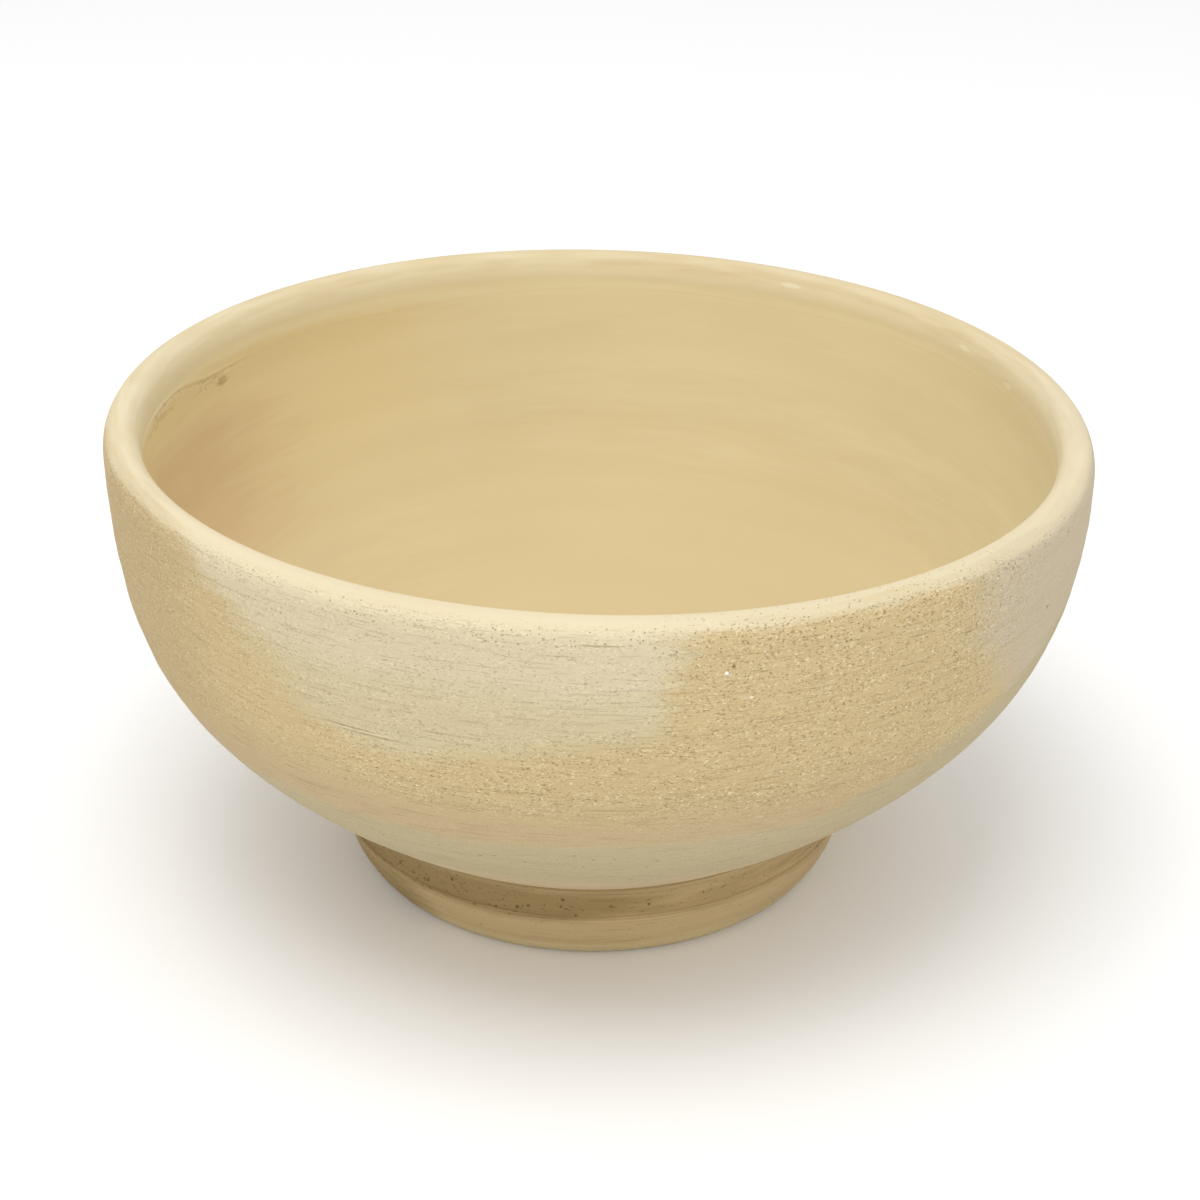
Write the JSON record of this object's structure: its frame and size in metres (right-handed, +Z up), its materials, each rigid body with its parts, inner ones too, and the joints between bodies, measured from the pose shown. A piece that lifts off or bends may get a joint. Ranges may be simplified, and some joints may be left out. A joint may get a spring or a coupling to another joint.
{
  "type": "footed clay bowl",
  "caption": "Unglazed wheel-thrown clay bowl with a deep rounded body, a smooth thick lip and a low turned foot ring luted on with slip.",
  "frame": {"origin": "on the table surface, under the centre of the foot ring", "axes": "+Z up along the bowl's axis of turning, +X to the right and +Y away from a viewer in front; the bowl is round, so X and Y are equal"},
  "size_m": [0.2, 0.2, 0.101],
  "materials": {
    "bowl_clay": "matt unglazed cream earthenware, finely turned, with fine grog",
    "slip_clay": "matt fired slip",
    "foot_clay": "matt unglazed ochre-brown earthenware, turned"
  },
  "bodies": {
    "root": {"bowl_body": "bowl_clay", "slip_joint": "slip_clay", "foot_ring": "foot_clay"}
  },
  "joints": []
}
